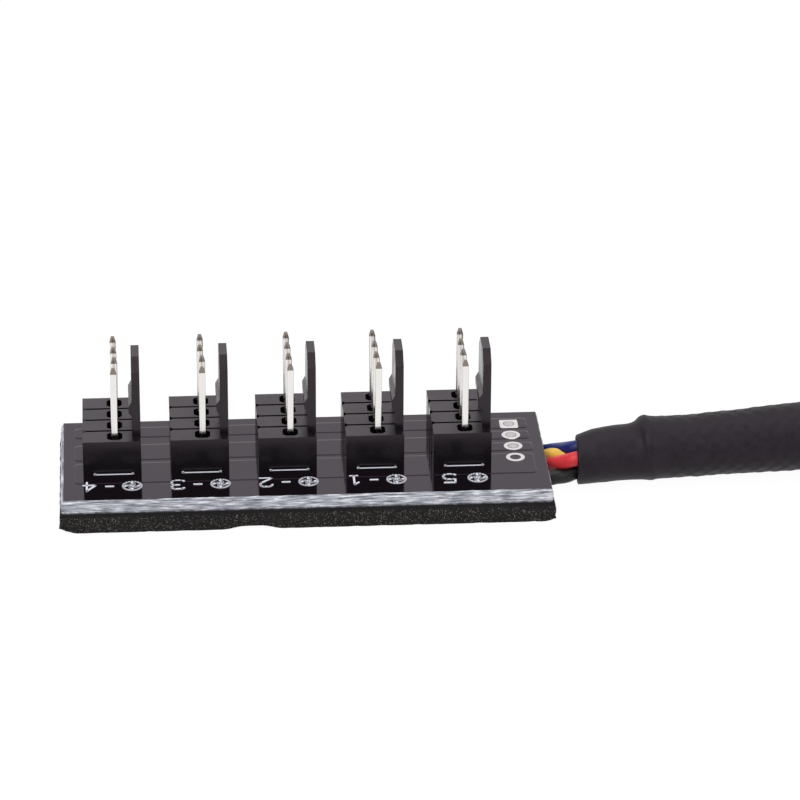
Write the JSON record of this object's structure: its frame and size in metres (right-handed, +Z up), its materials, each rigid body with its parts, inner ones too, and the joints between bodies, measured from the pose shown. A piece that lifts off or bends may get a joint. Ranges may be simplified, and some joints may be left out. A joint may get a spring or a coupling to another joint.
{
  "type": "fan splitter cable",
  "caption": "Small board on a foam pad with a row of keyed fan headers, fed by a sleeved cable that ends in a female fan plug.",
  "frame": {"origin": "middle of the foam pad's underside, on the surface that it lies on", "axes": "+X along the board towards the cable, +Y to the back, away from the headers' front, +Z up along the pins"},
  "size_m": [0.1496, 0.0787, 0.0148],
  "materials": {
    "board_mask": "gloss solder mask over glass epoxy",
    "foam": "open-cell foam, matt",
    "header_nylon": "black nylon, satin",
    "pin_tin": "bright tin plate",
    "solder": "satin solder",
    "wire_black": "PVC, semi-gloss",
    "wire_red": "PVC, semi-gloss",
    "wire_yellow": "PVC, semi-gloss",
    "wire_blue": "PVC, semi-gloss",
    "heat_shrink": "shrunk polyolefin, satin",
    "sleeve_braid": "braided monofilament",
    "tie_strap": "woven hook-and-loop strap",
    "plug_nylon": "black nylon, satin",
    "terminal_tin": "tinned phosphor bronze"
  },
  "bodies": {
    "root": {"circuit_board": "board_mask", "foam_pad": "foam", "header_housing_1": "header_nylon", "header_housing_2": "header_nylon", "header_housing_3": "header_nylon", "header_housing_4": "header_nylon", "header_housing_5": "header_nylon", "header_pin_1_1": "pin_tin", "header_pin_1_2": "pin_tin", "header_pin_1_3": "pin_tin", "header_pin_1_4": "pin_tin", "header_pin_2_1": "pin_tin", "header_pin_2_2": "pin_tin", "header_pin_2_3": "pin_tin", "header_pin_2_4": "pin_tin", "header_pin_3_1": "pin_tin", "header_pin_3_2": "pin_tin", "header_pin_3_3": "pin_tin", "header_pin_3_4": "pin_tin", "header_pin_4_1": "pin_tin", "header_pin_4_2": "pin_tin", "header_pin_4_3": "pin_tin", "header_pin_4_4": "pin_tin", "header_pin_5_1": "pin_tin", "header_pin_5_2": "pin_tin", "header_pin_5_3": "pin_tin", "header_pin_5_4": "pin_tin", "header_solder_1": "solder", "header_solder_2": "solder", "header_solder_3": "solder", "header_solder_4": "solder", "header_solder_5": "solder", "cable_solder_1": "solder", "cable_solder_2": "solder", "cable_solder_3": "solder", "cable_solder_4": "solder", "board_wire_1": "wire_black", "board_wire_2": "wire_red", "board_wire_3": "wire_yellow", "board_wire_4": "wire_blue", "board_end_shrink": "heat_shrink", "sleeve_run": "sleeve_braid", "sleeve_coil": "sleeve_braid", "sleeve_tail": "sleeve_braid", "coil_tie": "tie_strap", "plug_end_shrink": "heat_shrink", "plug_wire_1": "wire_black", "plug_wire_2": "wire_red", "plug_wire_3": "wire_yellow", "plug_wire_4": "wire_blue", "plug_housing": "plug_nylon", "plug_terminal_1": "terminal_tin", "plug_terminal_2": "terminal_tin", "plug_terminal_3": "terminal_tin", "plug_terminal_4": "terminal_tin"}
  },
  "joints": []
}
